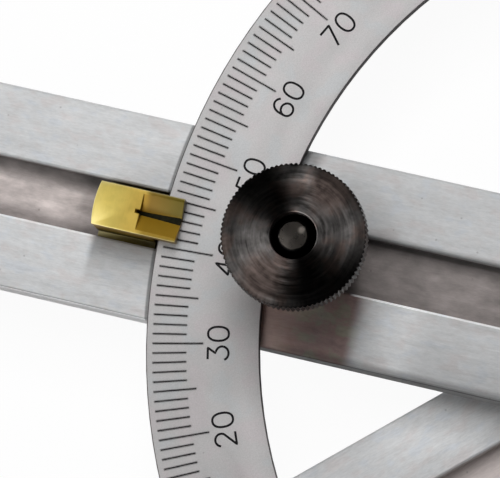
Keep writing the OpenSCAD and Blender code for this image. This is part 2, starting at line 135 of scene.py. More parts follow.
class NodeCanvas:
    """Node tree of a material or a world."""

    def __init__(self, owner: Look | bpy.types.World) -> None:
        """Empties the owner's node tree.

        Args:
            owner: material or world to draw on.
        """
        owner.use_nodes = True
        self.tree = owner.node_tree
        self.tree.nodes.clear()

    def add(self, kind: str, feeds: Feeds | None = None, **settings: object) -> bpy.types.Node:
        """Adds a node.

        Args:
            kind: node type without its ShaderNode prefix.
            feeds: a socket to link, or a value to set, for each input.
            settings: attributes of the node.

        Returns:
            The new node.
        """
        node = self.tree.nodes.new("ShaderNode" + kind)
        for key, value in settings.items():
            setattr(node, key, value)
        for key, value in (feeds or {}).items():
            socket = node.inputs[key]
            if isinstance(value, bpy.types.NodeSocket):
                self.tree.links.new(value, socket)
            elif socket.type == "RGBA":
                socket.default_value = (*value, 1.0)
            else:
                socket.default_value = value
        return node

    def math(self, operation: str, *values: Feed) -> Socket:
        """Result of a Math node on up to three values."""
        return self.add("Math", dict(enumerate(values)), operation=operation).outputs[0]

    def vector(self, operation: str, *values: Feed) -> Socket:
        """Vector result of a Vector Math node."""
        return self.add("VectorMath", dict(enumerate(values)), operation=operation).outputs[0]

    def times(self, *values: Feed) -> Socket:
        """Product of values."""
        return reduce(partial(self.math, "MULTIPLY"), values)

    def plus(self, *values: Feed) -> Socket:
        """Sum of values."""
        return reduce(partial(self.math, "ADD"), values)

    def most(self, *values: Feed) -> Socket:
        """Highest of values."""
        return reduce(partial(self.math, "MAXIMUM"), values)

    def less(self, value: Socket, loss: float, *masks: Socket) -> Socket:
        """A value lowered by a share where every mask is 1."""
        return self.times(value, self.math("MULTIPLY_ADD", self.times(*masks), -loss, 1.0))

    def reduced(self, value: Socket, *losses: tuple[float | Socket, ...]) -> Socket:
        """A value lowered by each loss in turn, which is a share and its masks."""
        return reduce(lambda left, loss: self.less(left, *loss), losses, value)

    def split(self, vector: Socket) -> list[Socket]:
        """The three coordinates of a vector."""
        return list(self.add("SeparateXYZ", {0: vector}).outputs)

    def joined(self, x: Feed = 0.0, y: Feed = 0.0, z: Feed = 0.0) -> Socket:
        """Vector of three coordinates."""
        return self.add("CombineXYZ", {0: x, 1: y, 2: z}).outputs[0]

    def place(self, angle: float = 0.0, centre: Vector | None = None) -> Socket:
        """Object coordinates in millimetres about a centre.

        Args:
            angle: direction that becomes the X axis, in radians.
            centre: point that becomes the origin, in metres.

        Returns:
            The vector socket.
        """
        turn = Matrix.Rotation(-angle, 3, "Z")
        shift = -(turn @ (centre or Vector())) / MM
        coords = self.add("TexCoord").outputs["Object"]
        feeds = {"Vector": coords, "Location": shift, "Rotation": (0, 0, -angle), "Scale": (1 / MM,) * 3}
        return self.add("Mapping", feeds, vector_type="POINT").outputs[0]

    def noise(self, vector: Socket, layer: Layer) -> Socket:
        """Noise from 0 to 1 about 0.5.

        Args:
            vector: coordinates in millimetres.
            layer: density, detail and roughness of the noise.

        Returns:
            The value socket.
        """
        scale = layer.density
        if isinstance(scale, tuple):
            vector, scale = self.vector("MULTIPLY", vector, scale), 1.0
        feeds = {"Vector": vector, "Scale": scale, "Detail": layer.detail, "Roughness": layer.rough}
        return self.add("TexNoise", feeds, noise_dimensions="3D").outputs[0]

    def cells(self, vector: Socket, density: float) -> Socket:
        """Distance to the nearest of random points."""
        return self.add("TexVoronoi", {"Vector": vector, "Scale": density}, feature="F1").outputs["Distance"]

    def swing(self, value: Socket, gain: float, middle: float) -> Socket:
        """A value about 0.5 turned into one about middle, gain times as wide."""
        return self.math("MULTIPLY_ADD", value, gain, middle - gain / 2)

    def varied(self, *noises: tuple[Socket, Layer]) -> Socket:
        """Brightness about 1 that each noise changes by its layer's gain."""
        return self.plus(1.0, *(self.swing(noise, layer.gain, 0.0) for noise, layer in noises))

    def step(self, value: Socket, low: float, high: float, none: float = 0.0, full: float = 1.0) -> Socket:
        """Smooth step from none at low to full at high."""
        feeds = {0: value, 1: low, 2: high, 3: none, 4: full}
        return self.add("MapRange", feeds, interpolation_type="SMOOTHSTEP").outputs[0]

    def blend(self, share: Feed, first: Feed, second: Feed, kind: str) -> Socket:
        """Two colours blended in one of the Mix node's ways."""
        return self.add("Mix", {0: share, 6: first, 7: second}, data_type="RGBA", blend_type=kind).outputs[2]

    def mix(self, share: Feed, first: Feed, second: Feed) -> Socket:
        """Colour between two colours."""
        return self.blend(share, first, second, "MIX")

    def tinted(self, colour: Feed, other: Feed) -> Socket:
        """Colour multiplied by another."""
        return self.blend(1.0, colour, other, "MULTIPLY")

    def shade(self, colour: Feed, factor: Socket) -> Socket:
        """Colour multiplied by a number."""
        return self.tinted(colour, self.joined(factor, factor, factor))

    def coated(self, colour: Feed, *coats: tuple[Socket, Feed]) -> Feed:
        """Colour with others laid over it in turn, each where its mask is 1."""
        return reduce(lambda under, coat: self.mix(coat[0], under, coat[1]), coats, colour)

    def clouded(self, tint: Socket, tones: tuple[Feed, Feed, Feed], warm: Pair, cool: Pair) -> Feed:
        """First tone, but the second where a noise is high and the third where it is low."""
        return self.coated(tones[0], (self.step(tint, *warm), tones[1]), (self.step(tint, *cool), tones[2]))

    def upright(self) -> Socket:
        """How far the surface faces up or down: 1 on flat tops, 0 on walls."""
        return self.math("ABSOLUTE", self.split(self.add("TexCoord").outputs["Normal"])[2])

    def bump(self, height: Socket, depth: float) -> Socket:
        """Normal from a height of 0 to 1 that stands for a depth in metres."""
        return self.add("Bump", {"Strength": 1.0, "Distance": depth, "Height": height}).outputs[0]

    def tangent(self, direction: Feed) -> Socket:
        """Direction on the object as a tangent for the shader."""
        settings = {"vector_type": "VECTOR", "convert_from": "OBJECT", "convert_to": "WORLD"}
        return self.add("VectorTransform", {0: direction}, **settings).outputs[0]

    def outward(self, here: Socket) -> Socket:
        """Direction away from the axis, one long."""
        return self.vector("NORMALIZE", self.vector("MULTIPLY", here, (1, 1, 0)))

    def radius(self, here: Socket, x: float = 0.0, y: float = 0.0) -> Socket:
        """Distance from an upright axis, in millimetres."""
        flat = self.vector("MULTIPLY", self.vector("SUBTRACT", here, (x, y, 0.0)), (1, 1, 0))
        return self.add("VectorMath", {0: flat}, operation="LENGTH").outputs["Value"]

    def blot(self, here: Socket, centre: Point, edge: Socket, radii: Pair) -> Socket:
        """Mask of a round spot: 0 at the first radius, 1 at the second, with a ragged edge."""
        return self.step(self.plus(self.radius(here, *centre), edge), *radii)

    def finish(self, **feeds: Feed) -> None:
        """Adds the surface shader, whose inputs are named with underscores for spaces."""
        named = {key.replace("_", " "): value for key, value in feeds.items()}
        self.add("OutputMaterial", {"Surface": self.add("BsdfPrincipled", named).outputs[0]})


class Finish(ABC):
    """Look of one kind of surface, whose rough says how wide its roughness varies and about what middle."""

    name: str
    rough: Pair

    @abstractmethod
    def paint(self, nodes: NodeCanvas) -> None:
        """Draws the finish with nodes.

        Args:
            nodes: canvas to draw on.
        """

    def worn(self, nodes: NodeCanvas, here: Socket, noise: Socket, value: Socket) -> Socket:
        """Brightness with marks of use and painted light, which is the same on a piece with neither."""
        return value

    def material(self) -> Look:
        """The finish as a new material.

        Returns:
            The material.
        """
        material = bpy.data.materials.new(self.name)
        self.paint(NodeCanvas(material))
        return material


@dataclass(frozen=True)
class BrushedBar(Finish):
    """Aluminium bar, brushed lengthwise, with a duller channel."""

    name: str
    angle: float
    top: float
    tone: Colour = shown(209, 210, 211)
    warm: Colour = shown(207, 204, 204)
    cool: Colour = shown(205, 208, 212)
    channel: Colour = shown(200, 190, 187)
    # The wall tone is painted shade on the side walls, mixed in by wall_share
    wall: Colour = shown(132, 127, 125)
    wall_share: float = 0.5
    streak: Layer = Layer((0.14, 1.3, 1.3), 4, 0.6, gain=0.3)
    grain: Layer = Layer((0.9, 3.6, 3.6), 3, 0.7, gain=0.4)
    cloud: Layer = Layer((0.16, 0.26, 0.26), 5, 0.65, gain=0.34)
    tint: Layer = Layer((0.27, 0.45, 0.45), 4)
    scratch: Layer = Layer((0.07, 5, 5), 1, gain=0.06)
    scratch_turn: float = 0.09
    pit_density: float = 0.32
    pit_share: float = 0.3
    pit_radii: Pair = (0.075, 0.03)
    scratch_band: Pair = (0.68, 0.76)
    wall_slope: Pair = (0.6, 0.2)
    half_channel: float = 4.6
    floor_from: Pair = (0.6, 2.6)
    floor_to: Pair = (4.4, 3.6)
    floor_rough: float = 0.08
    rough: Pair = (0.2, 0.42)
    grain_relief: float = 0.6
    streak_relief: float = 0.8
    relief: float = 0.012 * MM

    def paint(self, nodes: NodeCanvas) -> None:
        """Draws grain, clouds, pits, scratches, the channel's tone and painted shade on the side walls.

        Args:
            nodes: canvas to draw on.
        """
        here = nodes.place(self.angle)
        streak, grain, cloud = (nodes.noise(here, layer) for layer in (self.streak, self.grain, self.cloud))
        scratch = nodes.noise(nodes.place(self.angle + self.scratch_turn), self.scratch)
        pit = nodes.step(nodes.cells(here, self.pit_density), *self.pit_radii)
        value = nodes.varied((streak, self.streak), (grain, self.grain), (cloud, self.cloud))
        scratched = nodes.times(nodes.step(scratch, *self.scratch_band), self.scratch.gain)
        value = nodes.plus(value, scratched, nodes.times(pit, -self.pit_share))
        tones = (self.tone, self.warm, self.cool)
        colour = nodes.clouded(nodes.noise(here, self.tint), tones, warm=(0.5, 0.66), cool=(0.46, 0.34))
        _, across, height = nodes.split(here)
        floor = nodes.times(
            nodes.step(height, *(self.top - depth for depth in self.floor_from)),
            nodes.step(height, *(self.top - depth for depth in self.floor_to)),
            nodes.step(nodes.math("ABSOLUTE", across), self.half_channel + 0.5, self.half_channel + 0.2),
        )
        colour = nodes.mix(floor, colour, self.channel)
        # Painted shade: the side walls take the darker wall tone
        side = nodes.step(nodes.upright(), *self.wall_slope)
        colour = nodes.mix(nodes.times(side, self.wall_share), colour, self.wall)
        heights = nodes.times(grain, self.grain_relief), nodes.times(streak, self.streak_relief)
        nodes.finish(
            Base_Color=nodes.shade(self.used(nodes, here, floor, colour), value),
            Metallic=0.15,
            Specular_IOR_Level=0.3,
            Roughness=nodes.plus(nodes.swing(grain, *self.rough), nodes.times(floor, self.floor_rough)),
            Anisotropic=0.55,
            Tangent=nodes.tangent((-math.sin(self.angle), math.cos(self.angle), 0.0)),
            Normal=nodes.bump(nodes.plus(*heights), self.relief),
        )

    def used(self, nodes: NodeCanvas, here: Socket, floor: Socket, colour: Socket) -> Socket:
        """Colour with painted light and shade, which is the same on a bar that has none."""
        return colour


@dataclass(frozen=True)
class UsedBar(BrushedBar):
    """Bar with painted shade and painted light round the clamp, the arc and the pointer."""

    wall_share: float = 0.3
    start: float = 24.0
    clamp: float = 65.5
    inner: float = ARC_INNER
    outer: float = ARC_OUTER
    tail: float = 99.3
    side: float = 15.8
    # Tints of the painted shade by the clamp, and the painted highlight on the channel's near edge, also past
    # the arc
    stain: Colour = (0.45, 0.31, 0.29)
    green: Colour = (0.37, 0.34, 0.27)
    faint: Colour = (0.78, 0.56, 0.5)
    glint: Colour = (1.9, 1.9, 1.9)
    far_glint: float = 0.45
    rag: Layer = Layer(0.35, 3, gain=5.0)
    spots: Layer = Layer((0.22, 0.4, 0.4), 4, gain=1.4)
    dirt: Layer = Layer((0.35, 0.5, 0.5), 5, 0.6, gain=1.1)
    cleaned: float = 0.96

    def used(self, nodes: NodeCanvas, here: Socket, floor: Socket, colour: Socket) -> Socket:
        """Colour with painted shade and light, the channel floor's mottle, and the painted shade by the clamp
        and highlight on the channel's edge.
        """
        tone = nodes.shade(self.stained(nodes, here), self.wear(nodes, here, floor))
        return nodes.tinted(colour, tone)

    def wear(self, nodes: NodeCanvas, here: Socket, floor: Socket) -> Socket:
        """Brightness with painted shade and light, the floor's mottle and a darker pivot end. The near side
        is the one where across is over 0.

        Args:
            nodes: canvas to draw on.
            here: coordinates along, across and above the bar, in millimetres.
            floor: 1 on the channel's floor.

        Returns:
            The brightness, about 1.
        """
        step = nodes.step
        along, across, height = nodes.split(here)
        radius, clamp = nodes.radius(here), nodes.radius(here, self.clamp)
        ragged = nodes.plus(along, nodes.swing(nodes.noise(here, self.rag), self.rag.gain, 0.0))
        spots = nodes.math("SUBTRACT", nodes.noise(here, self.spots), 0.5)
        edge, side, inner, outer, tail = self.half_channel, self.side, self.inner, self.outer, self.tail
        top = step(height, self.top - 1.0, self.top - 0.5)
        pivot_end = step(ragged, inner + 1, inner - 12)
        far_end = step(along, inner + 8, inner + 18)
        past_start = step(along, self.start + 2, self.start + 8)
        near_land = step(across, 0, edge)
        wall = step(across, side - 0.1, side)
        lip = step(across, -edge - 1.1, -edge), step(across, -edge + 0.5, -edge)
        by_arc = step(across, edge, -edge), step(along, inner + 8, inner + 2)
        by_pointer = step(along, tail + 0.3, tail - 0.9), step(along, outer - 3, outer)
        value = nodes.math("MULTIPLY_ADD", nodes.times(floor, spots), self.spots.gain, self.cleaned)
        return nodes.reduced(
            value,
            # Darker end by the pivot; painted shade on the near side wall there, and painted light on it
            # beyond the arc
            (0.1, pivot_end),
            (0.55, pivot_end, wall),
            (-1.3, far_end, wall),
            # Painted shade along the near edge and the channel's far lip, near land darker towards the pivot,
            # painted light beside the clamp's shade
            (0.5, top, pivot_end, step(across, side - 1.6, side - 0.4)),
            (0.5, top, pivot_end, past_start, *lip),
            (0.04, top, past_start, step(across, -edge + 0.3, -edge - 0.3)),
            (0.14, top, past_start, near_land, step(along, 49, 43)),
            (-0.14, top, near_land, step(along, 55, 53), step(along, 43, 48)),
            # Painted shade round the clamp, inside and outside the arc, and beside the pointer
            (0.18, top, pivot_end, step(across, 0, -edge), step(clamp, 16.5, 12.5)),
            (0.5, top, step(radius, inner - 3.6, inner - 1.4), *by_arc),
            (0.6, top, step(radius, outer + 0.95, outer + 0.6), step(radius, outer - 1, outer)),
            (0.47, top, step(across, edge + 9.5, edge + 1), step(across, edge - 1, edge - 0.5), *by_pointer),
            # Painted shade on the channel's floor: at the pivot end, along its walls and behind the pointer
            (0.55, floor, pivot_end),
            (0.25, floor, pivot_end, step(across, -2.4, -4.0)),
            (0.55, floor, pivot_end, step(across, -3.7, -4.2)),
            (0.4, floor, step(ragged, tail + 7, tail + 2), step(along, tail - 20, tail - 10)),
            (0.38, floor, far_end, step(nodes.math("ABSOLUTE", across), edge - 3.4, edge - 0.6)),
            (0.48, floor, far_end, step(across, -0.5, -edge + 0.5)),
        )

    def stained(self, nodes: NodeCanvas, here: Socket) -> Socket:
        """Tint of the painted shade between clamp and arc, and of the painted highlight on the channel's near
        edge.

        Args:
            nodes: canvas to draw on.
            here: coordinates along, across and above the bar, in millimetres.

        Returns:
            The colour to multiply by.
        """
        step = nodes.step
        along, across, height = nodes.split(here)
        upright = nodes.upright()
        edge, inner, outer, clamp = self.half_channel, self.inner, self.outer, self.clamp
        dirt = nodes.noise(here, self.dirt)
        # Painted shade and reflection of the knob on the arm, mottled, in two tints and paler towards the arc
        stain = nodes.shade(
            nodes.mix(step(dirt, 0.47, 0.6), self.stain, self.green), nodes.swing(dirt, self.dirt.gain, 1.0)
        )
        stain = nodes.mix(step(along, inner - 9, inner - 2), stain, self.faint)
        painted_shade_patch = nodes.times(
            step(height, self.top - 1.0, self.top - 0.5),
            step(across, edge - 1.5, edge),
            step(along, clamp - 11.5, clamp - 9.0),
            step(along, inner + 8, inner + 2),
        )
        # Painted highlight on the bevel of the channel's near edge, by the clamp and beyond the arc
        far_run = nodes.times(step(along, outer + 8, outer + 12), self.far_glint)
        painted_edge_glint = nodes.times(
            nodes.plus(far_run, step(along, clamp - 8, clamp - 9)),
            step(upright, 0.2, 0.4),
            step(upright, 0.99, 0.93),
            step(across, edge - 0.5, edge - 0.3),
            step(across, edge + 0.6, edge + 0.4),
        )
        return nodes.coated(WHITE, (painted_shade_patch, stain), (painted_edge_glint, self.glint))


@dataclass(frozen=True)
class SatinPlate(Finish):
    """Stainless sheet with a satin face and darker edges."""

    name: str = "satin_scale_steel"
    inner: float = ARC_INNER
    outer: float = ARC_OUTER
    border: float = 0.17
    tone: Colour = shown(187, 185, 185)
    warm: Colour = shown(189, 184, 185)
    cool: Colour = shown(185, 186, 187)
    edge: Colour = shown(70, 65, 65)
    grain: Layer = Layer(5.5, 3, gain=0.42)
    cloud: Layer = Layer(0.13, 3, gain=0.22)
    tint: Layer = Layer(0.21)
    fine: Layer = Layer(16)
    speck_density: float = 0.22
    speck_share: float = 0.25
    speck_radii: Pair = (0.045, 0.02)
    # Painted light: brighter towards the far end of the arc, and in a band by its inner edge
    near_level: float = 0.91
    far_gain: float = 0.18
    far_from: Pair = (35, 75)
    track_gain: float = 0.15
    track: Pair = (5.5, 2.0)
    rim_fade: float = 0.06
    bore_fade: float = 0.12
    bevel_slope: Pair = (0.995, 0.9)
    rough: Pair = (0.16, 0.46)
    relief: float = 0.006 * MM

    def paint(self, nodes: NodeCanvas) -> None:
        """Draws a fine even grain, faint stains, painted light towards the far end and by the inner edge, and
        darker edges.

        Args:
            nodes: canvas to draw on.
        """
        here = nodes.place()
        radius = nodes.radius(here)
        grain = nodes.noise(here, self.grain)
        value = nodes.varied((grain, self.grain), (nodes.noise(here, self.cloud), self.cloud))
        speck = nodes.step(nodes.cells(here, self.speck_density), *self.speck_radii)
        value = nodes.plus(value, nodes.times(speck, -self.speck_share))
        # Painted light, brighter towards the far end and by the inner edge
        far = nodes.step(nodes.split(here)[1], *self.far_from)
        value = nodes.times(value, nodes.math("MULTIPLY_ADD", far, self.far_gain, self.near_level))
        track = nodes.step(radius, *(self.inner + run for run in self.track))
        value = nodes.less(value, -self.track_gain, track)
        tones = (self.tone, self.warm, self.cool)
        colour = nodes.clouded(nodes.noise(here, self.tint), tones, warm=(0.5, 0.62), cool=(0.45, 0.34))
        rim = self.outer - self.border
        edge = nodes.most(
            nodes.step(nodes.upright(), *self.bevel_slope),
            nodes.step(radius, rim - self.rim_fade, rim + self.rim_fade),
            nodes.step(radius, self.inner + self.bore_fade, self.inner),
        )
        nodes.finish(
            Base_Color=nodes.mix(edge, nodes.shade(colour, value), self.edge),
            Metallic=0.2,
            Specular_IOR_Level=0.3,
            Roughness=nodes.swing(grain, *self.rough),
            Normal=nodes.bump(nodes.noise(here, self.fine), self.relief),
        )


@dataclass(frozen=True)
class MilledBrass(Finish):
    """Brass block with fine cutter marks across it."""

    angle: float
    sunk: float
    name: str = "milled_brass"
    tone: Colour = shown(219, 196, 101)
    # Painted shade on walls and nose; olive is painted shade on ledge and one notch wall, and the stains'
    # tone; lit is a painted highlight
    deep: Colour = shown(170, 133, 38)
    olive: Colour = shown(150, 132, 44)
    warm: Colour = shown(226, 192, 92)
    lit: Colour = shown(244, 230, 160)
    half: float = 3.5
    nose: float = 91.9
    marks: Layer = Layer((6, 0.5, 0.5), gain=0.12)
    cloud: Layer = Layer(0.45, 3, gain=0.12)
    stain: Layer = Layer(0.6, 3)
    stain_band: Pair = (0.45, 0.65)
    stain_share: float = 0.12
    rough: Pair = (0.15, 0.36)
    relief: float = 0.008 * MM

    def paint(self, nodes: NodeCanvas) -> None:
        """Draws cutter marks, clouds, stains, painted shade on walls, ledge and nose, and painted highlights
        on the edges.

        Args:
            nodes: canvas to draw on.
        """
        here = nodes.place(self.angle)
        along, across, height = nodes.split(here)
        upright = nodes.upright()
        marks = nodes.noise(here, self.marks)
        wall = nodes.step(upright, 0.3, 0.1)
        ledge = nodes.step(height, self.sunk + 0.6, self.sunk - 0.4)
        foot = nodes.times(wall, nodes.step(height, self.sunk + 3.2, self.sunk + 0.6))
        nose = nodes.step(along, self.nose, self.nose - 1.5)
        nose_side = nodes.times(nose, nodes.step(across, -0.1, -1.0))
        tip = nodes.step(along, self.nose - 1, self.nose - 6.5)
        stain = nodes.step(nodes.noise(here, self.stain), *self.stain_band)
        bevel = nodes.times(nodes.step(upright, 0.3, 0.5), nodes.step(upright, 0.99, 0.95))
        outline = nodes.most(
            nodes.step(nodes.math("ABSOLUTE", across), self.half - 0.4, self.half - 0.2),
            nodes.step(along, self.nose + 1.2, self.nose + 1.6),
        )
        # Painted shade on walls, ledge and nose, and painted highlights on the edges
        colour = nodes.coated(
            self.tone,
            (nodes.step(along, self.nose + 4.5, self.nose), self.warm),
            (nodes.step(upright, 0.97, 0.88), self.deep),
            (nodes.times(ledge, 0.7), self.olive),
            (nodes.times(nose, 0.7), self.deep),
            (nodes.times(nose_side, tip), self.olive),
            (nodes.times(stain, self.stain_share), self.olive),
            (nodes.times(bevel, outline), self.lit),
        )
        value = nodes.varied((marks, self.marks), (nodes.noise(here, self.cloud), self.cloud))
        # Painted shade on the ledge, the walls, their foot, one wall of the notch and the nose
        value = nodes.reduced(
            value, (0.5, ledge), (0.45, nodes.most(ledge, wall)), (0.1, foot), (0.4, nose_side), (0.15, nose)
        )
        nodes.finish(
            Base_Color=nodes.shade(colour, value),
            Metallic=0.5,
            Roughness=nodes.swing(marks, *self.rough),
            Normal=nodes.bump(marks, self.relief),
        )


@dataclass(frozen=True)
class TurnedBlack(Finish):
    """Blackened steel, turned on a lathe."""

    name: str
    centre: Vector
    tone: Colour = (0.25, 0.235, 0.228)
    brown: Colour = (0.26, 0.2, 0.18)
    rings: Layer = Layer(3.2, 4, 0.7, gain=0.5)
    band: Layer = Layer(0.9, gain=0.9)
    arcs: Layer = Layer(1.0, 3, gain=1.6)
    cloud: Layer = Layer(0.25, 3, gain=1.5)
    blotch: Layer = Layer(0.8, 4, gain=1.3)
    arc_turn: float = 1.7
    arc_rise: float = 1.9
    darkest: float = 0.15
    browns: tuple[Point, ...] = ()
    brown_radii: Pair = (5.0, 2.0)
    brown_band: Pair = (0.45, 0.62)
    ragged: float = 3.0
    rough: Pair = (0.16, 0.36)
    relief: float = 0.004 * MM

    def paint(self, nodes: NodeCanvas) -> None:
        """Draws rings of the cutter's feed and a painted wide sheen across them.

        Args:
            nodes: canvas to draw on.
        """
        here = nodes.place(centre=self.centre)
        outward, radius = nodes.outward(here), nodes.radius(here)
        feed = nodes.joined(radius, nodes.split(here)[2])
        # Painted sheen: a noise that follows the direction round the axis and the radius
        turn = nodes.vector("MULTIPLY", outward, (self.arc_turn, self.arc_turn, 0))
        turn = nodes.vector("ADD", turn, nodes.joined(z=nodes.times(radius, self.arc_rise)))
        layers = self.rings, self.band, self.arcs, self.cloud, self.blotch
        drawn = [nodes.noise(*pair) for pair in zip((feed, feed, turn, here, here), layers)]
        value = nodes.varied(*zip(drawn, layers))
        rings, _, arcs, cloud, _ = drawn
        value = self.worn(nodes, here, arcs, nodes.most(value, self.darkest))
        edge = nodes.swing(arcs, self.ragged, 0.0)
        browns = (nodes.blot(here, spot, edge, self.brown_radii) for spot in self.browns)
        share = nodes.most(nodes.step(cloud, *self.brown_band), *browns)
        nodes.finish(
            Base_Color=nodes.shade(nodes.mix(share, self.tone, self.brown), value),
            Metallic=1.0,
            Roughness=nodes.swing(rings, *self.rough),
            Anisotropic=0.97,
            Tangent=nodes.tangent(outward),
            Normal=nodes.bump(rings, self.relief),
        )


@dataclass(frozen=True, kw_only=True)
class TurnedKnob(TurnedBlack):
    """Black knob with painted shade in its counterbore and on its rim and teeth, and painted lobes of light
    and dark on its face.
    """

    bore: float
    rim: float
    # Painted shade on the rim and teeth; spots are painted light and shade: x, y and share lost, below 0 for
    # a painted highlight
    dark_rings: tuple[Pair, ...] = ((2.6, 1.2), (0.5, 0.1))
    ring_loss: float = 0.6
    spots: tuple[tuple[float, float, float], ...] = (
        (-2.3, -6.4, 0.8),
        (6.6, 0.6, 0.45),
        (2.8, 6.3, 0.66),
        (5.1, 8.9, -3.6),
        (-5.1, -8.9, 0.6),
        (-9.0, 5.0, 0.35),
        (-5.6, 2.8, -0.2),
        (-6.1, -3.6, 0.35),
        (6.2, -3.4, 0.35),
        (9.0, -5.0, -0.9),
    )
    spot_radii: Pair = (4.4, 1.6)
    browns: tuple[Point, ...] = ((-7.2, -3.4), (8.6, 3.2))

    def worn(self, nodes: NodeCanvas, here: Socket, noise: Socket, value: Socket) -> Socket:
        """Brightness with painted shade that blacks out the bore and darkens the rim and teeth, and painted
        spots of light and shade.

        Args:
            nodes: canvas to draw on.
            here: coordinates about the knob's axis, in millimetres.
            noise: what makes the spots ragged.
            value: brightness of the turned steel.

        Returns:
            The brightness socket.
        """
        radius = nodes.radius(here)
        # Painted shade: black inside the counterbore, then a darker rim and teeth
        value = nodes.times(value, nodes.step(radius, self.bore - 0.05, self.bore + 0.05))
        rings = (nodes.step(radius, self.rim - low, self.rim - high) for low, high in self.dark_rings)
        value = nodes.reduced(value, *((self.ring_loss, ring) for ring in rings))
        # Painted spots of light and shade on the face
        edge = nodes.swing(noise, self.ragged, 0.0)
        spots = ((loss, nodes.blot(here, (x, y), edge, self.spot_radii)) for x, y, loss in self.spots)
        return nodes.reduced(value, *spots)


@dataclass(frozen=True)
class BrightSteel(Finish):
    """Bright plated fastener."""

    name: str
    centre: Vector
    tone: Colour = shown(176, 177, 180)
    rings: Layer = Layer(6, gain=0.2)
    spots: Layer = Layer(1.1, 3, gain=0.24)
    rough: Pair = (0.25, 0.3)
    relief: float = 0.004 * MM

    def paint(self, nodes: NodeCanvas) -> None:
        """Draws faint turning rings and dulled spots.

        Args:
            nodes: canvas to draw on.
        """
        here = nodes.place(centre=self.centre)
        rings = nodes.noise(nodes.joined(nodes.radius(here)), self.rings)
        spots = nodes.noise(here, self.spots)
        value = nodes.varied((rings, self.rings), (spots, self.spots))
        nodes.finish(
            Base_Color=nodes.shade(self.tone, self.worn(nodes, here, spots, value)),
            Metallic=0.95,
            Roughness=nodes.swing(spots, *self.rough),
            Anisotropic=0.4,
            Tangent=nodes.tangent(nodes.outward(here)),
            Normal=nodes.bump(rings, self.relief),
        )


@dataclass(frozen=True)
class WornStud(BrightSteel):
    """Dull stud with a painted highlight on its end and a black rim."""

    tone: Colour = shown(122, 116, 110)
    glint: Point = (1.5, 0.1)
    glint_radii: Pair = (0.75, 0.225)
    glint_gain: float = 3.6
    face_radii: Pair = (2.22, 2.02)
    glint_ragged: float = 0.5
    face_ragged: float = 0.4

    def worn(self, nodes: NodeCanvas, here: Socket, noise: Socket, value: Socket) -> Socket:
        """Brightness with the painted highlight, and black outside the face's radii.

        Args:
            nodes: canvas to draw on.
            here: coordinates about the stud's axis, in millimetres.
            noise: what makes the edges ragged.
            value: brightness of the bright steel.

        Returns:
            The brightness socket.
        """
        glint_edge = nodes.swing(noise, self.glint_ragged, 0.0)
        face_edge = nodes.swing(noise, self.face_ragged, 0.0)
        # Painted highlight on the stud's end
        glint = nodes.blot(here, self.glint, glint_edge, self.glint_radii)
        face = nodes.blot(here, (0.0, 0.0), face_edge, self.face_radii)
        return nodes.times(nodes.less(value, -self.glint_gain, glint), face)


@dataclass(frozen=True)
class NaturalPlastic(Finish):
    """Milky plastic washer."""

    name: str = "natural_washer_plastic"
    tone: Colour = shown(232, 229, 216)
    stained: Colour = shown(205, 198, 180)
    stain_share: float = 0.6
    grain: Layer = Layer(4, 3, gain=0.08)
    stain: Layer = Layer(0.35, 3)
    stain_band: Pair = (0.52, 0.68)
    rough: Pair = (0.15, 0.5)
    relief: float = 0.01 * MM

    def paint(self, nodes: NodeCanvas) -> None:
        """Draws a faint grain and handling stains.

        Args:
            nodes: canvas to draw on.
        """
        here = nodes.place()
        grain = nodes.noise(here, self.grain)
        stain = nodes.step(nodes.noise(here, self.stain), *self.stain_band)
        colour = nodes.mix(nodes.times(stain, self.stain_share), self.tone, self.stained)
        nodes.finish(
            Base_Color=nodes.shade(colour, nodes.varied((grain, self.grain))),
            Roughness=nodes.swing(grain, *self.rough),
            Normal=nodes.bump(grain, self.relief),
        )


@dataclass(frozen=True)
class TurnedBronze(Finish):
    """Turned bronze bush."""

    name: str = "turned_bush_bronze"
    tone: Colour = shown(204, 166, 110)
    rings: Layer = Layer(5, 3, gain=0.3)
    cloud: Layer = Layer(0.7, 3, gain=0.3)
    rough: Pair = (0.2, 0.4)
    relief: float = 0.006 * MM

    def paint(self, nodes: NodeCanvas) -> None:
        """Draws turning rings and a slight tarnish.

        Args:
            nodes: canvas to draw on.
        """
        here = nodes.place()
        rings = nodes.noise(nodes.joined(nodes.radius(here)), self.rings)
        cloud = nodes.noise(here, self.cloud)
        nodes.finish(
            Base_Color=nodes.shade(self.tone, nodes.varied((rings, self.rings), (cloud, self.cloud))),
            Metallic=0.9,
            Roughness=nodes.swing(cloud, *self.rough),
            Normal=nodes.bump(rings, self.relief),
        )


@dataclass(frozen=True)
class EngravingInk(Finish):
    """Black paint in engraved lines."""

    name: str = "engraving_ink"
    tone: Colour = (0.008, 0.007, 0.008)
    worn: Colour = (0.025, 0.023, 0.024)
    wear: Layer = Layer(1.6, 3)
    wear_band: Pair = (0.5, 0.7)
    grain: Layer = Layer(14)
    rough: Pair = (0.2, 0.8)
    relief: float = 0.004 * MM

    def paint(self, nodes: NodeCanvas) -> None:
        """Draws the paint a little worn in places.

        Args:
            nodes: canvas to draw on.
        """
        here = nodes.place()
        wear = nodes.step(nodes.noise(here, self.wear), *self.wear_band)
        grain = nodes.noise(here, self.grain)
        nodes.finish(
            Base_Color=nodes.mix(wear, self.tone, self.worn),
            Roughness=nodes.swing(grain, *self.rough),
            Specular_IOR_Level=0.2,
            Normal=nodes.bump(grain, self.relief),
        )


def only(piece: Piece) -> None:
    """Selects one object, makes it active and deselects the rest.

    Args:
        piece: object to select.
    """
    bpy.ops.object.select_all(action="DESELECT")
    piece.select_set(True)
    bpy.context.view_layer.objects.active = piece


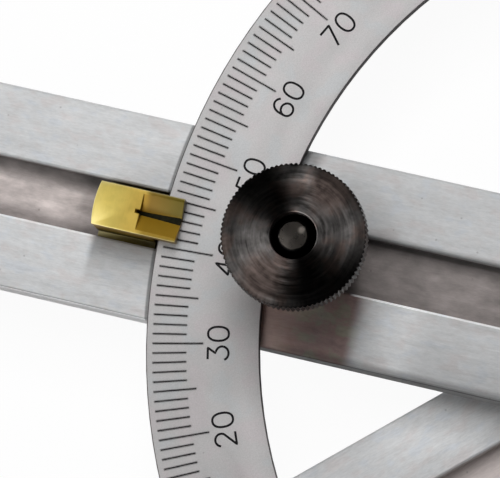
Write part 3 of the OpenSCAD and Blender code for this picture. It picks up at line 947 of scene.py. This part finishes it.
def started(name: str, add: Callable[..., set[str]], **settings: object) -> Piece:
    """Starts a piece from a primitive.

    Args:
        name: name of the piece.
        add: operator that adds the primitive.
        settings: settings of the operator.

    Returns:
        The piece, alone selected.
    """
    bpy.ops.object.select_all(action="DESELECT")
    add(**settings)
    piece = bpy.context.object
    piece.name = name
    return piece


@contextmanager
def editing(piece: Piece, kind: Element = Element.VERTS) -> Iterator[None]:
    """Edit mode on one object, with everything in it selected.

    Args:
        piece: object to edit.
        kind: elements to select by.

    Returns:
        A context that ends back in object mode.
    """
    only(piece)
    bpy.ops.object.mode_set(mode="EDIT")
    bpy.ops.mesh.select_mode(type=kind.value)
    bpy.ops.mesh.select_all(action="SELECT")
    yield
    bpy.ops.object.mode_set(mode="OBJECT")


def pick(piece: Piece, kind: Element, test: Callable[..., bool]) -> None:
    """Selects the elements of a mesh in edit mode that pass a test.

    Args:
        piece: object in edit mode.
        kind: elements to select.
        test: takes an element and says whether it is wanted.
    """
    bpy.ops.mesh.select_all(action="DESELECT")
    mesh = bmesh.from_edit_mesh(piece.data)
    for element in getattr(mesh, kind.name.lower()):
        if test(element):
            element.select_set(True)
    mesh.select_flush(True)
    bmesh.update_edit_mesh(piece.data)


def rise(edge: bmesh.types.BMEdge) -> float:
    """Difference in height between the ends of an edge."""
    first, second = edge.verts
    return abs(first.co.z - second.co.z)


def scaled(x: float = 1.0, y: float = 1.0, z: float = 1.0, centre: Point = (0.0, 0.0)) -> None:
    """Scales what is selected, from height 0 and an upright axis at the centre."""
    bpy.ops.transform.resize(value=(x, y, z), center_override=(*centre, 0))


def settled(piece: Piece, smooth: float = 30.0) -> Piece:
    """Applies an object's place to its mesh and smooths it by angle.

    Args:
        piece: finished piece.
        smooth: edges sharper than this stay sharp, in degrees.

    Returns:
        The same piece.
    """
    only(piece)
    bpy.ops.object.transform_apply(location=True, rotation=True, scale=True)
    bpy.ops.object.shade_smooth_by_angle(angle=math.radians(smooth))
    return piece


def with_modifier(piece: Piece, kind: str, **settings: object) -> None:
    """Adds a modifier to an object and applies it.

    Args:
        piece: object to change.
        kind: modifier type.
        settings: attributes of the modifier.
    """
    only(piece)
    modifier = piece.modifiers.new(kind.title(), kind)
    for key, value in settings.items():
        setattr(modifier, key, value)
    bpy.ops.object.modifier_apply(modifier=modifier.name)


def turned(name: str, profile: list[Point], axis: Vector, steps: int) -> Piece:
    """Turns a profile round an upright axis, as on a lathe.

    Args:
        name: name of the piece.
        profile: radius and height of each point, in metres.
        axis: a point on the axis.
        steps: segments round the axis.

    Returns:
        The closed piece.
    """
    piece = started(name, bpy.ops.mesh.primitive_plane_add, size=MM)
    with editing(piece):
        bpy.ops.mesh.merge(type="CENTER")
        radius, height = profile[0]
        bpy.ops.transform.translate(value=(axis.x + radius, axis.y, height))
        for (near_r, near_z), (far_r, far_z) in zip(profile, profile[1:]):
            move = {"value": (far_r - near_r, 0, far_z - near_z)}
            bpy.ops.mesh.extrude_vertices_move(TRANSFORM_OT_translate=move)
        bpy.ops.mesh.select_all(action="SELECT")
        bpy.ops.mesh.spin(steps=steps, angle=math.tau, center=(axis.x, axis.y, 0), axis=(0, 0, 1))
        bpy.ops.mesh.select_all(action="SELECT")
        bpy.ops.mesh.remove_doubles(threshold=MERGE)
        bpy.ops.mesh.normals_make_consistent(inside=False)
    return piece


def softened(node: str, edge: float) -> Piece:
    """Copy of a CAD node with merged faces and rounded edges.

    Args:
        node: name of the CAD node.
        edge: width of the rounding, in metres.

    Returns:
        The piece, which doesn't replace the node yet.
    """
    piece = bpy.data.objects.new(node + "_body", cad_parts[node].data.copy())
    bpy.context.scene.collection.objects.link(piece)
    piece.data.materials.clear()
    only(piece)
    bpy.ops.mesh.customdata_custom_splitnormals_clear()
    with editing(piece):
        bpy.ops.mesh.remove_doubles(threshold=MERGE)
        bpy.ops.mesh.dissolve_limited(angle_limit=FLAT)
    with_modifier(piece, "BEVEL", width=edge, segments=2, limit_method="ANGLE", angle_limit=SHARP)
    return settled(piece, smooth=35)


@dataclass(frozen=True)
class Layout:
    """Where the CAD model puts what the new pieces sit on."""

    plate_top: float
    arm_top: float
    base_top: float
    clamp: Vector

    @classmethod
    def read(cls) -> "Layout":
        """Reads the heights and the knob's axis from the boxes of the CAD nodes.

        Returns:
            The layout.
        """
        low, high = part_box("lock_knob")
        tops = (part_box(node)[1].z for node in ("scale_plate", "swing_arm", "base_arm"))
        return cls(*tops, Vector(((low.x + high.x) / 2, (low.y + high.y) / 2, 0)))

    @property
    def heading(self) -> float:
        """Direction of the upper arm, in radians."""
        return math.atan2(self.clamp.y, self.clamp.x)


@dataclass
class SubAssembly(ABC):
    """A group of pieces that is built and dressed together."""

    layout: Layout
    pieces: list[Piece] = field(default_factory=list, init=False)

    @abstractmethod
    def build(self) -> None:
        """Models the pieces of the group."""

    def keep(self, piece: Piece, body: Body, look: Look, slot: Slot | None = None, *nodes: str) -> None:
        """Gives a piece its material and body, and hides the nodes it stands for.

        Args:
            piece: finished piece.
            body: body it rides on.
            look: its material.
            slot: the record's slot, or None for paint; not used.
            nodes: CAD nodes that it replaces.
        """
        piece.data.materials.clear()
        piece.data.materials.append(look)
        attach(piece, body.value)
        if nodes:
            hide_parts(*nodes)
        self.pieces.append(piece)

    def stand_in(self, body: Body, look: Look, slot: Slot, edge: float, *nodes: str) -> None:
        """Puts copies with rounded edges in the places of CAD nodes."""
        for node in nodes:
            self.keep(softened(node, edge), body, look, slot, node)

    def report(self) -> None:
        """Logs each piece with its count of faces."""
        for piece in self.pieces:
            LOG.info("%s: %s, %d faces", type(self).__name__, piece.name, len(piece.data.polygons))


@dataclass
class ArmPair(SubAssembly):
    """The two channelled bars and the spacer of the arc."""

    edge: float = 0.12 * MM
    worn_edge: float = 0.2 * MM

    def build(self) -> None:
        """Rounds the bars' edges and brushes them lengthwise."""
        base_top, arm_top = self.layout.base_top / MM, self.layout.arm_top / MM
        lower = BrushedBar("brushed_base_bar", math.pi, base_top).material()
        upper = UsedBar("brushed_swing_bar", self.layout.heading, arm_top).material()
        self.stand_in(Body.BASE, lower, Slot.ALUMINIUM, self.edge, "base_arm")
        self.stand_in(Body.SWING, upper, Slot.ALUMINIUM, self.worn_edge, "swing_arm")
        self.stand_in(Body.BASE, lower, Slot.ALUMINIUM, self.edge, "scale_spacer")


def firm(line: list[Point], reach: float = 0.03, sharp: float = 35.0) -> list[Point]:
    """Line with points close to its sharp corners, so that a stroke keeps its width.

    Args:
        line: points of the line.
        reach: distance of the new points from a corner.
        sharp: turns above this angle, in degrees, are corners.

    Returns:
        The line with its new points.
    """
    points = [line[0]]
    for before, here, after in zip(line, line[1:], line[2:]):
        corner = Vector(here)
        back, ahead = Vector(before) - corner, Vector(after) - corner
        if math.degrees(math.pi - back.angle(ahead)) > sharp:
            near, far = (tuple(corner + side.normalized() * reach) for side in (back, ahead))
            points += [near, here, far]
        else:
            points.append(here)
    return points + [line[-1]]


def arc(centre: Point, radii: Pair, start: float, end: float, steps: int, power: float = 2.0) -> list[Point]:
    """Points on an oval.

    Args:
        centre: centre of the oval.
        radii: half width and half height.
        start: first angle in degrees.
        end: last angle in degrees.
        steps: number of segments.
        power: 2 for an ellipse, more for a squarer oval.

    Returns:
        The points in order.
    """
    points = []
    for index in range(steps + 1):
        angle = math.radians(start + (end - start) * index / steps)
        parts = math.cos(angle), math.sin(angle)
        x, y = (
            middle + radius * math.copysign(abs(part) ** (2 / power), part)
            for middle, radius, part in zip(centre, radii, parts)
        )
        points.append((x, y))
    return points


def engraved_figures() -> dict[str, list[list[Point]]]:
    """Strokes of the figures 0 to 9, each in a box FIGURE_WIDTH wide and 1 high.

    Returns:
        The strokes of each figure.
    """
    hook = [(0.0, 0.3), (0.0, 0.5)] + arc((0.35, 0.56), (0.35, 0.44), 180, 38, 12)
    six = [arc((0.31, 0.3), (0.31, 0.3), 180, 540, 24), hook]
    return {
        "0": [arc((0.335, 0.5), (0.335, 0.5), 90, 450, 28, 2.3)],
        "1": [[(0.12, 0.8), (0.36, 1.0), (0.36, 0.0)]],
        "2": [arc((0.33, 0.7), (0.3, 0.3), 168, -32, 14) + [(0.02, 0.0), (0.64, 0.0)]],
        "3": [[(0.05, 1.0), (0.6, 1.0), (0.34, 0.62)] + arc((0.335, 0.31), (0.33, 0.31), 88, -160, 16)],
        "4": [[(0.47, 0.0), (0.47, 1.0), (0.02, 0.33), (0.66, 0.33)]],
        "5": [[(0.58, 1.0), (0.1, 1.0), (0.06, 0.56)] + arc((0.32, 0.32), (0.33, 0.32), 128, -150, 16)],
        "6": six,
        "7": [[(0.02, 1.0), (0.64, 1.0), (0.22, 0.0)]],
        "8": [arc((0.335, 0.77), (0.25, 0.23), 0, 360, 20), arc((0.335, 0.27), (0.325, 0.27), 0, 360, 22)],
        "9": [[(FIGURE_WIDTH - x, 1 - y) for x, y in line] for line in six],
    }


@dataclass
class GraduatedArc(SubAssembly):
    """The steel arc with its degree lines and figures."""

    edge: float = 0.15 * MM
    outer: float = 87.5 * MM
    degree: float = 5.4 * MM
    five: float = 6.83 * MM
    ten: float = 8.05 * MM
    line: float = 0.36 * MM
    figure_top: float = 78.95 * MM
    figure_low: float = 75.33 * MM
    figure_pitch: float = 3.05 * MM
    stroke: float = 0.36 * MM
    proud: float = 0.012 * MM
    end_rounding: float = 0.3
    last: int = 180

    def build(self) -> None:
        """Models the plate, the lines and the figures."""
        ink = EngravingInk().material()
        self.stand_in(Body.BASE, SatinPlate().material(), Slot.SCALE, self.edge, "scale_plate")
        self.keep(self.lines(), Body.BASE, ink)
        self.keep(self.figures(), Body.BASE, ink)

    def lines(self) -> Piece:
        """Degree lines: one is modelled, copied by the degree, and every fifth drawn longer.

        Returns:
            All lines as one piece.
        """
        piece = started("scale_lines", bpy.ops.mesh.primitive_cube_add, size=1)
        depth = 4 * self.proud
        with editing(piece, Element.EDGES):
            scaled(self.degree, self.line, depth)
            middle = (self.degree / 2 - self.outer, 0, self.layout.plate_top + self.proud - depth / 2)
            bpy.ops.transform.translate(value=middle)
            pick(piece, Element.EDGES, lambda edge: rise(edge) > depth / 2)
            bpy.ops.mesh.bevel(offset=self.line * self.end_rounding, segments=2, affect="EDGES")
        turn = started("one_degree", bpy.ops.object.empty_add, rotation=(0, 0, -math.radians(1)))
        spread = {"use_relative_offset": False, "use_object_offset": True, "offset_object": turn}
        with_modifier(piece, "ARRAY", count=self.last + 1, **spread)
        bpy.data.objects.remove(turn)
        with editing(piece):
            for length, first in ((self.five, 5), (self.ten, 0)):
                degrees = range(first, self.last + 1, 10)
                pick(piece, Element.VERTS, partial(self.at_inner_end, degrees=degrees))
                share = (self.outer - length) / (self.outer - self.degree)
                scaled(share, share)
        return settled(piece)

    def at_inner_end(self, vert: Vert, degrees: range) -> bool:
        """Says whether a vertex is at the inner end of one of these degrees' lines."""
        degree = round(math.degrees(math.pi - math.atan2(vert.co.y, vert.co.x))) % 360
        return degree in degrees and vert.co.xy.length <= self.outer - self.degree / 2

    def figure(self, digit: str, lines: list[list[Point]], high: float) -> Piece:
        """One figure as flattened rounded strokes, at the origin.

        Args:
            digit: the figure.
            lines: its strokes.
            high: height between the middles of its top and bottom strokes.

        Returns:
            The figure, with its foot's left corner at the origin.
        """
        curve = bpy.data.curves.new("figure_" + digit, "CURVE")
        curve.dimensions = "3D"
        curve.bevel_depth = self.stroke / 2
        curve.bevel_resolution = 1
        curve.use_fill_caps = True
        for line in lines:
            spline = curve.splines.new("POLY")
            spline.use_cyclic_u = math.dist(line[0], line[-1]) < MERGE
            kept = line[:-1] if spline.use_cyclic_u else firm(line)
            spline.points.add(len(kept) - 1)
            for point, (x, y) in zip(spline.points, kept):
                point.co = (x * high, y * high, 0, 1)
        piece = bpy.data.objects.new("figure_" + digit, curve)
        bpy.context.scene.collection.objects.link(piece)
        only(piece)
        bpy.ops.object.convert(target="MESH")
        piece = bpy.context.object
        piece.scale.z = 2 * self.proud / self.stroke
        return settled(piece, smooth=60)

    def figures(self) -> Piece:
        """Figures at each ten degrees, tops outwards.

        Returns:
            All figures as one piece.
        """
        high = self.figure_top - self.figure_low - self.stroke
        models = {digit: self.figure(digit, lines, high) for digit, lines in engraved_figures().items()}
        copies = []
        for degree in range(0, self.last + 1, 10):
            text = str(degree)
            width = (len(text) - 1) * self.figure_pitch + FIGURE_WIDTH * high
            facing = Matrix.Rotation(math.radians(90 - degree), 4, "Z")
            for index, digit in enumerate(text):
                left = index * self.figure_pitch - width / 2
                foot = (left, self.figure_low + self.stroke / 2, self.layout.plate_top)
                copy = models[digit].copy()
                copy.data = models[digit].data.copy()
                copy.data.transform(facing @ Matrix.Translation(foot))
                bpy.context.scene.collection.objects.link(copy)
                copies.append(copy)
        for model in models.values():
            bpy.data.objects.remove(model)
        only(copies[0])
        for copy in copies:
            copy.select_set(True)
        bpy.ops.object.join()
        piece = bpy.context.object
        piece.name = "scale_figures"
        return piece


@dataclass
class PivotStack(SubAssembly):
    """Stud, bush, washers and nut of the pivot, and the screws of the arc."""

    edge: float = 0.1 * MM
    thread_r: float = 3.0 * MM
    thread_depth: float = 0.45 * MM
    pitch: float = 1.0 * MM
    crest: Pair = (0.42, 0.58)
    lead: float = 0.5 * MM
    segments: int = 48

    def build(self) -> None:
        """Rounds the small parts and cuts the stud's thread."""
        steel = BrightSteel("bright_pivot_steel", Vector()).material()
        stacked = ("spring_washer", "plain_washer", "pivot_nut")
        self.stand_in(Body.BASE, steel, Slot.FASTENER, self.edge, *stacked)
        self.stand_in(Body.BASE, NaturalPlastic().material(), Slot.PLASTIC, self.edge, "thrust_washer")
        self.stand_in(Body.SWING, TurnedBronze().material(), Slot.BRONZE, self.edge, "pivot_bush")
        low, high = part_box("scale_screws")
        screws = BrightSteel("bright_screw_steel", (low + high) / 2).material()
        self.stand_in(Body.BASE, screws, Slot.FASTENER, self.edge, "scale_screws")
        self.keep(self.stud(), Body.BASE, steel, Slot.FASTENER, "pivot_stud")

    def stud(self) -> Piece:
        """Shoulder stud with a thread above its shoulder.

        Returns:
            The stud.
        """
        low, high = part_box("pivot_stud")
        shoulder = (high.x - low.x) / 2
        foot, top = self.layout.base_top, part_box("plain_washer")[0].z
        major, minor, lead = self.thread_r, self.thread_r - self.thread_depth, self.lead
        profile = [(0, low.z), (major - lead, low.z), (major, low.z + lead), (major, foot)]
        profile += [(shoulder, foot), (shoulder, top), (minor, top)]
        height = top + self.pitch / 2
        while height + self.pitch < high.z - lead:
            crest = ((major, height + self.pitch * share) for share in self.crest)
            profile += [(minor, height), *crest, (minor, height + self.pitch)]
            height += self.pitch
        profile += [(minor, high.z - lead), (minor - lead / 2, high.z), (0, high.z)]
        return settled(turned("pivot_stud_body", profile, Vector(), self.segments))


@dataclass
class BrassPointer(SubAssembly):
    """The brass block, its index and its screw."""

    edge: float = 0.16 * MM
    screw_edge: float = 0.08 * MM
    index_tip: float = 85.38 * MM
    index_end: float = 92.5 * MM
    index_low: float = 16.0 * MM
    notch_floor: float = 16.2 * MM
    notch_slope: float = 0.644
    tip_width: float = 1.15 * MM
    end_width: float = 0.5 * MM
    foot_share: float = 0.4

    def build(self) -> None:
        """Rounds the block, fills its index cut with paint that widens into painted shadow towards the tip,
        and adds the screw.
        """
        brass = MilledBrass(self.layout.heading, self.layout.arm_top / MM).material()
        self.stand_in(Body.SWING, brass, Slot.BRASS, self.edge, "pointer")
        # Olive-black index paint, which towards the tip also stands for the shadow in the notch
        ink = EngravingInk("index_ink_and_painted_shadow", (0.005, 0.005, 0.002), (0.012, 0.011, 0.004)).material()
        self.keep(self.index(), Body.SWING, ink)
        low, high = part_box("pointer_screw")
        steel = BrightSteel("bright_pointer_screw_steel", (low + high) / 2).material()
        self.stand_in(Body.SWING, steel, Slot.FASTENER, self.screw_edge, "pointer_screw")

    def index(self) -> Piece:
        """Paint that stands in the bottom of the notch, deeper and wider towards the tip, where the width is
        painted shadow.

        Returns:
            The paint as a thin wedge.
        """
        piece = started("pointer_index", bpy.ops.mesh.primitive_cube_add, size=1)
        surface = self.notch_floor + self.notch_slope * self.tip_width / 2
        drop = self.notch_slope * (self.tip_width - self.end_width) / 2
        middle = (self.index_tip + self.index_end) / 2
        with editing(piece):
            scaled(self.index_end - self.index_tip, self.tip_width, surface - self.index_low)
            bpy.ops.transform.translate(value=(middle, 0, (surface + self.index_low) / 2))
            pick(piece, Element.VERTS, lambda vert: vert.co.x > middle)
            scaled(y=self.end_width / self.tip_width)
            pick(piece, Element.VERTS, lambda vert: vert.co.x > middle and vert.co.z > self.notch_floor)
            bpy.ops.transform.translate(value=(0, 0, -drop))
            pick(piece, Element.VERTS, lambda vert: vert.co.z < self.notch_floor)
            scaled(y=self.foot_share)
            bpy.ops.mesh.select_all(action="SELECT")
            bpy.ops.mesh.subdivide(number_cuts=3)
        piece.rotation_euler.z = self.layout.heading
        return settled(piece)


@dataclass
class ClampStack(SubAssembly):
    """Stud, nut, shoe and washers under the knob."""

    edge: float = 0.12 * MM
    thin_edge: float = 0.06 * MM

    def build(self) -> None:
        """Rounds the parts of the clamp."""
        black = TurnedBlack("turned_black_shoe", self.layout.clamp).material()
        grey = BrightSteel("bright_clamp_steel", self.layout.clamp).material()
        stud = WornStud("dark_stud_steel", self.layout.clamp).material()
        self.stand_in(Body.SWING, stud, Slot.BLACK, self.edge, "clamp_stud")
        self.stand_in(Body.SWING, grey, Slot.FASTENER, self.edge, "stud_nut")
        self.stand_in(Body.SWING, grey, Slot.FASTENER, self.thin_edge, "lift_washer")
        self.stand_in(Body.CLAMP, black, Slot.BLACK, self.edge, "clamp_shoe")
        self.stand_in(Body.CLAMP, grey, Slot.FASTENER, self.edge, "clamp_washer")


@dataclass
class KnurledKnob(SubAssembly):
    """The turned and knurled clamp knob."""

    rim_r: float = 11.2 * MM
    teeth: int = 92
    tooth_columns: int = 4
    tooth_depth: float = 0.3 * MM
    side_share: float = 0.4
    rim_h: float = 4.5 * MM
    top_bevel: float = 1.5 * MM
    top_drop: float = 0.16 * MM
    corner: float = 0.25 * MM
    rounding: float = 0.3
    low_bevel: float = 0.7 * MM
    neck_r: float = 6.5 * MM
    fillet: float = 0.5 * MM
    bore_r: float = 3.6 * MM
    bore_h: float = 2.4 * MM
    hole_r: float = 2.56 * MM
    lip: float = 0.15 * MM
    face_drop: float = 0.03 * MM
    ring_pitch: float = 0.09 * MM
    ring_depth: float = 0.0045 * MM
    pitch_shares: Pair = (0.7, 1.4)
    depth_shares: Pair = (0.3, 1.0)
    seed: int = 7

    def build(self) -> None:
        """Turns the knob, presses its knurl and blackens it."""
        look = TurnedKnob("turned_black_knob", self.layout.clamp, bore=self.bore_r / MM, rim=self.rim_r / MM)
        profile = self.profile()
        piece = turned("lock_knob_body", profile, self.layout.clamp, self.tooth_columns * self.teeth)
        self.knurl(piece, profile)
        self.keep(settled(piece, smooth=22), Body.KNOB, look.material(), Slot.BLACK, "lock_knob")

    def face(self, top: float) -> list[Point]:
        """Cutter's rings on the top face, from the rim in to the counterbore.

        Args:
            top: height of the face.

        Returns:
            Points of the profile.
        """
        draw = random.Random(self.seed)
        points = []
        radius = self.rim_r - self.top_bevel - self.lip
        low = False
        while radius > self.bore_r + 2 * self.lip:
            depth = self.ring_depth * draw.uniform(*self.depth_shares) if low else 0.0
            points.append((radius, top - depth))
            radius -= self.ring_pitch * draw.uniform(*self.pitch_shares)
            low = not low
        return points

    def profile(self) -> list[Point]:
        """Closed outline of the knob on one side of its axis.

        Returns:
            Radius and height of each point.
        """
        low, high = (corner.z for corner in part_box("lock_knob"))
        rim, edge, seat = high - self.rim_h, high - self.top_drop, high - self.bore_h
        lip, corner = self.lip, self.corner
        return [
            (self.hole_r, low),
            (self.neck_r - lip, low),
            (self.neck_r, low + lip),
            (self.neck_r, rim - self.fillet),
            (self.neck_r + lip, rim - lip),
            (self.neck_r + self.fillet, rim),
            (self.rim_r - self.low_bevel, rim),
            (self.rim_r, rim + self.low_bevel),
            (self.rim_r, edge - corner),
            (self.rim_r - corner * self.rounding, edge - corner * self.rounding),
            (self.rim_r - corner, edge),
            (self.rim_r - self.top_bevel, high - self.face_drop),
            *self.face(high),
            (self.bore_r + lip, high),
            (self.bore_r + lip * self.rounding, high - lip * self.rounding),
            (self.bore_r, high - lip),
            (self.bore_r, seat),
            (self.hole_r, seat),
            (self.hole_r, low),
        ]

    def knurl(self, piece: Piece, profile: list[Point]) -> None:
        """Presses grooves into the rim, less deep on both sides of each groove's floor.

        Args:
            piece: the turned knob.
            profile: its outline.
        """
        floor, side = self.rim_r - self.tooth_depth, self.rim_r - self.side_share * self.tooth_depth
        radii = sorted({radius for radius, _ in profile if radius > floor - MERGE}, reverse=True)
        with editing(piece):
            for columns, limit in (((1, 3), side), ((2,), floor)):
                for radius in (radius for radius in radii if radius > limit + MERGE):
                    pick(piece, Element.VERTS, partial(self.in_groove, radius=radius, columns=columns))
                    scaled(limit / radius, limit / radius, centre=self.layout.clamp.xy)
            bpy.ops.mesh.select_all(action="SELECT")
            bpy.ops.mesh.remove_doubles(threshold=MERGE)

    def column(self, x: float, y: float) -> int:
        """Column of a tooth, 0 on its crest, in a direction from the axis."""
        return round(math.atan2(y, x) / math.tau * self.tooth_columns * self.teeth) % self.tooth_columns

    def in_groove(self, vert: Vert, radius: float, columns: tuple[int, ...]) -> bool:
        """Says whether a vertex is on a ring of the knob and in some columns of a tooth."""
        x, y = (vert.co - self.layout.clamp).xy
        return self.column(x, y) in columns and abs(math.hypot(x, y) - radius) < 2 * MERGE


@dataclass(frozen=True)
class Lamp:
    """One soft square lamp, placed about the middle of the view, which metal doesn't mirror."""

    name: str
    azimuth: float
    elevation: float
    distance: float
    width: float
    power: float

    def light(self, target: Vector, picture_right: float) -> None:
        """Adds the lamp to the scene.

        Args:
            target: point that it faces, in metres.
            picture_right: direction in the frame that the azimuth starts from, in degrees.
        """
        data = bpy.data.lights.new(self.name, "AREA")
        data.shape = "RECTANGLE"
        data.size = data.size_y = self.width
        data.energy = self.power
        lamp = bpy.data.objects.new(self.name, data)
        around, up = math.radians(self.azimuth + picture_right), math.radians(self.elevation)
        back = Vector((math.cos(around) * math.cos(up), math.sin(around) * math.cos(up), math.sin(up)))
        lamp.location = target + back * self.distance
        lamp.rotation_euler = (-back).to_track_quat("-Z", "Y").to_euler()
        lamp.visible_camera = False
        lamp.visible_glossy = False
        bpy.context.scene.collection.objects.link(lamp)


@dataclass(frozen=True)
class Room:
    """Grey walls that the metal mirrors, with a dark gap between the left and the right."""

    dark_middle: float = 0.09
    dark_half: float = 0.38
    dark_fade: float = 0.3
    dark_level: float = 0.006
    left_level: float = 2.6
    right_level: float = 0.3
    horizon_height: float = 0.5
    horizon_share: float = 0.2
    ground_share: float = 4.0
    diffuse_share: float = 0.13

    def build(self) -> None:
        """Draws the walls, and white for the camera, in the world."""
        world = bpy.data.worlds.new("studio_world")
        bpy.context.scene.world = world
        nodes = NodeCanvas(world)
        sideways, _, upwards = nodes.split(nodes.add("TexCoord").outputs["Generated"])
        rise = nodes.step(upwards, 0.0, self.horizon_height, self.horizon_share, 1.0)
        ground = nodes.add("MapRange", {0: upwards, 1: 0.0, 2: -1.0, 3: 0.0, 4: self.ground_share}).outputs[0]
        walls = nodes.plus(
            self.wall(nodes, sideways, -1, self.left_level), self.wall(nodes, sideways, 1, self.right_level)
        )
        path = nodes.add("LightPath").outputs
        dimmed = nodes.math("MULTIPLY_ADD", path["Is Diffuse Ray"], self.diffuse_share - 1, 1.0)
        level = nodes.times(nodes.plus(nodes.times(walls, rise), ground), dimmed)
        mirrored = nodes.add("Background", {0: level}).outputs[0]
        white = nodes.add("Background", {0: WHITE}).outputs[0]
        seen = nodes.add("MixShader", {0: path["Is Camera Ray"], 1: mirrored, 2: white}).outputs[0]
        nodes.add("OutputWorld", {0: seen})

    def wall(self, nodes: NodeCanvas, sideways: Socket, side: int, level: float) -> Socket:
        """Brightness of the wall on one side, -1 or 1, of the dark gap."""
        near = self.dark_middle + side * self.dark_half
        return nodes.step(sideways, near, near + side * self.dark_fade, self.dark_level / 2, level)


@dataclass(frozen=True)
class Studio:
    """Floor, world, lamps and camera."""

    target: Point3 = (-45.0, 40.0, 15.0)
    floor_size: float = 40.0
    floor_z: float = -0.1 * MM
    paper: Colour = (0.9, 0.9, 0.9)
    paper_grain: Layer = Layer(0.3, gain=0.02)
    shadow_share: float = 0.05
    picture_right: float = -29.5
    lamps: tuple[Lamp, ...] = (
        Lamp("key_lamp", 90, 47, 0.6, width=0.1, power=0.8),
        Lamp("soft_lamp", 95, 66, 0.7, width=0.5, power=3.95),
    )
    camera_place: Point3 = (-34.461, -63.808, 600.0)
    camera_turn: Point3 = (8.7144, 7.1098, -28.9409)
    focal_pixels: float = 3825.99
    picture_width: int = 500
    sensor: float = 36.0
    clip: Pair = (0.01, 100.0)

    def build(self) -> None:
        """Sets the whole studio."""
        self.floor()
        Room().build()
        for lamp in self.lamps:
            lamp.light(Vector(self.target) * MM, self.picture_right)
        self.camera()
        bpy.context.scene.view_settings.view_transform = "Standard"

    def floor(self) -> None:
        """White floor that keeps a light shadow."""
        place = (0, 0, self.floor_z)
        plane = started("floor", bpy.ops.mesh.primitive_plane_add, size=self.floor_size, location=place)
        material = bpy.data.materials.new("white_floor")
        nodes = NodeCanvas(material)
        grain = nodes.varied((nodes.noise(nodes.place(), self.paper_grain), self.paper_grain))
        paper = nodes.add("BsdfDiffuse", {0: nodes.shade(self.paper, grain)}).outputs[0]
        white = nodes.add("Emission", {0: WHITE, 1: 1.0}).outputs[0]
        share = nodes.times(nodes.add("LightPath").outputs["Is Camera Ray"], 1 - self.shadow_share)
        lit = nodes.add("MixShader", {0: share, 1: paper, 2: white}).outputs[0]
        below = nodes.add("NewGeometry").outputs["Backfacing"]
        clear = nodes.add("BsdfTransparent").outputs[0]
        both = nodes.add("MixShader", {0: below, 1: lit, 2: clear}).outputs[0]
        nodes.add("OutputMaterial", {"Surface": both})
        plane.data.materials.append(material)
        plane.visible_diffuse = False

    def camera(self) -> None:
        """Camera at the photograph's viewing angle."""
        data = bpy.data.cameras.new("camera")
        data.sensor_fit = "HORIZONTAL"
        data.sensor_width = self.sensor
        data.lens = self.focal_pixels * self.sensor / self.picture_width
        data.clip_start, data.clip_end = self.clip
        camera = bpy.data.objects.new("camera", data)
        camera.location = Vector(self.camera_place) * MM
        camera.rotation_euler = [math.radians(angle) for angle in self.camera_turn]
        bpy.context.scene.collection.objects.link(camera)
        bpy.context.scene.camera = camera


def main() -> None:
    """Builds and dresses every sub-assembly, then sets the studio."""
    layout = Layout.read()
    for kind in (ArmPair, GraduatedArc, PivotStack, BrassPointer, ClampStack, KnurledKnob):
        part = kind(layout)
        part.build()
        part.report()
    Studio().build()


if __name__ == "__main__":
    main()
